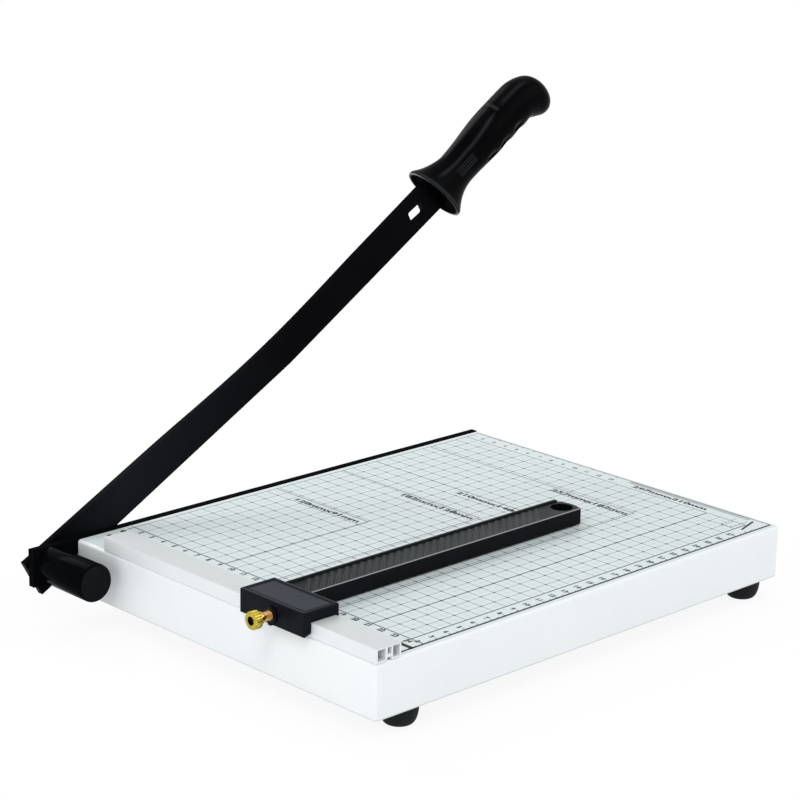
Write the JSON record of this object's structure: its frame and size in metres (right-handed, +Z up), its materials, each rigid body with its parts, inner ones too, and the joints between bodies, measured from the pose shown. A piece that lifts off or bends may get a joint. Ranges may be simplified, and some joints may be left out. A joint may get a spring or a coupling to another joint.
{
  "type": "paper cutter",
  "caption": "Guillotine paper cutter: white steel bed with a printed grid, hinged black knife arm with moulded handle, sliding side guide clamped by a thumb screw, and an arm lock.",
  "frame": {"origin": "on the desk, under the middle of the whole cutter with the arm raised as at rest", "axes": "+X along the cutting edge from pivot to handle, +Y out past the knife, +Z up"},
  "size_m": [0.4164, 0.2678, 0.2709],
  "materials": {
    "white_paint": "semi-gloss powder coat",
    "black_steel": "satin black paint",
    "dark_steel": "blackened",
    "plain_steel": "zinc plated",
    "rail_aluminium": "satin anodised",
    "black_plastic": "moulded, semi-gloss",
    "rubber": "matte",
    "brass": "turned",
    "bronze": "sintered"
  },
  "bodies": {
    "base": {"base_tray": "white_paint", "bed_knife": "black_steel", "knife_screws": "dark_steel", "knife_nuts": "plain_steel", "paper_rail": "rail_aluminium", "rail_screws": "plain_steel", "spring_housing": "black_plastic", "spring_cup": "plain_steel", "pivot_bush": "bronze", "foot_near_left": "rubber", "foot_near_right": "rubber", "foot_far_left": "rubber", "foot_far_right": "rubber", "foot_screws": "plain_steel", "foot_nuts": "plain_steel", "lock_guide": "plain_steel"},
    "arm": {"knife_arm": "black_steel", "handle": "black_plastic", "pivot_bolt": "dark_steel", "pivot_spring": "plain_steel", "pivot_washer": "plain_steel", "pivot_nut": "plain_steel"},
    "guide": {"guide_block": "black_plastic", "guide_bar": "black_plastic", "guide_screws": "plain_steel", "guide_insert": "brass"},
    "clamp": {"clamp_pad": "brass"},
    "screw": {"thumb_screw": "brass"},
    "lock": {"lock_bolt": "plain_steel", "lock_knob": "black_plastic"}
  },
  "joints": [
    {"name": "arm_hinge", "type": "hinge", "parent": "base", "child": "arm", "pos_m": [-0.19312, 0.1186, 0.033], "axis": [0, -1, 0], "range_deg": [-28.9, 45]},
    {"name": "guide_slide", "type": "slide", "parent": "base", "child": "guide", "axis": [0, 1, 0], "range_m": [-0.045, 0.12]},
    {"name": "clamp_slide", "type": "slide", "parent": "guide", "child": "clamp", "axis": [1, 0, 0], "range_m": [-0.0008, 0.0002]},
    {"name": "thumb_turn", "type": "hinge", "parent": "clamp", "child": "screw", "pos_m": [-0.18062, -0.0599, 0.0504], "axis": [1, 0, 0], "range_deg": [-361, 91]},
    {"name": "lock_slide", "type": "slide", "parent": "base", "child": "lock", "axis": [0, 1, 0], "range_m": [0, 0.008]}
  ],
  "couplings": [
    {"joint": "thumb_turn", "follows": "clamp_slide", "rad_per_m": 7854}
  ]
}
